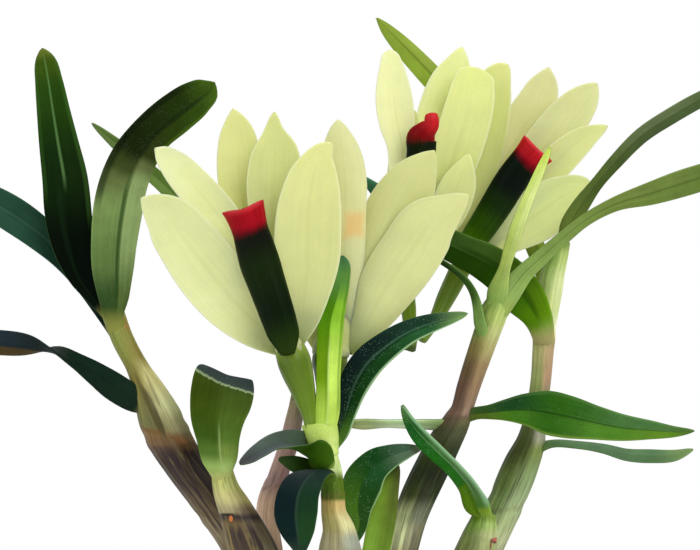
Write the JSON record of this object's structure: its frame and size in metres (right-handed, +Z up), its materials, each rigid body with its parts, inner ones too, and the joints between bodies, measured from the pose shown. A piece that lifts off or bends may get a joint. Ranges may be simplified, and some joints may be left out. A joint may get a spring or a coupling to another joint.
{
  "type": "dendrobium orchid",
  "caption": "Miniature dendrobium orchid lifted with its roots: swollen canes, dark leathery leaves and pale yellow blooms whose channelled green lips end in red.",
  "frame": {"origin": "centre of the flat foot of the root crown, on the surface the plant stands on", "axes": "+Z up, +X to the viewer's right along the plant's widest extent, +Y away from the viewer"},
  "size_m": [0.1211, 0.0623, 0.1087],
  "materials": {
    "root": "dry, matt root skin",
    "cane": "ribbed stem with papery sheaths, low sheen",
    "leaf_dark": "leathery leaf, satin",
    "leaf_bright": "young leaf, satin",
    "tepal": "thin waxy petal, soft sheen",
    "lip": "waxy, semi-gloss",
    "tip": "waxy, semi-gloss",
    "ovary": "waxy, satin"
  },
  "bodies": {
    "root": {"rhizome_and_roots": "root", "cane_left": "cane", "cane_left_short": "cane", "cane_back_left": "cane", "cane_front": "cane", "cane_right": "cane", "cane_far_right": "cane", "cane_right_short": "cane", "cane_back_arch": "cane", "leaf_left_tall": "leaf_dark", "leaf_left_bent": "leaf_dark", "leaf_back_thin": "leaf_bright", "leaf_left_edge": "leaf_dark", "leaf_left_low": "leaf_dark", "leaf_paddle": "leaf_dark", "leaf_arch": "leaf_dark", "leaf_curl": "leaf_dark", "leaf_small": "leaf_dark", "leaf_drooping": "leaf_dark", "leaf_cup": "leaf_dark", "leaf_low_upright": "leaf_bright", "leaf_folded": "leaf_dark", "leaf_lance": "leaf_bright", "leaf_strap": "leaf_dark", "leaf_pale": "leaf_bright", "leaf_sprout": "leaf_bright", "leaf_right_edge": "leaf_dark", "leaf_right_high": "leaf_dark", "leaf_wide": "leaf_dark", "leaf_wire": "leaf_dark", "leaf_top": "leaf_bright", "leaf_front_upright": "leaf_bright", "bloom_front_tepals": "tepal", "bloom_front_lip": "lip", "bloom_front_tip": "tip", "bloom_front_ovary": "ovary", "bloom_turned_tepals": "tepal", "bloom_turned_lip": "lip", "bloom_turned_tip": "tip", "bloom_turned_ovary": "ovary", "bloom_back_tepals": "tepal", "bloom_back_lip": "lip", "bloom_back_tip": "tip", "bloom_back_ovary": "ovary", "bloom_right_tepals": "tepal", "bloom_right_lip": "lip", "bloom_right_tip": "tip", "bloom_right_ovary": "ovary"}
  },
  "joints": []
}
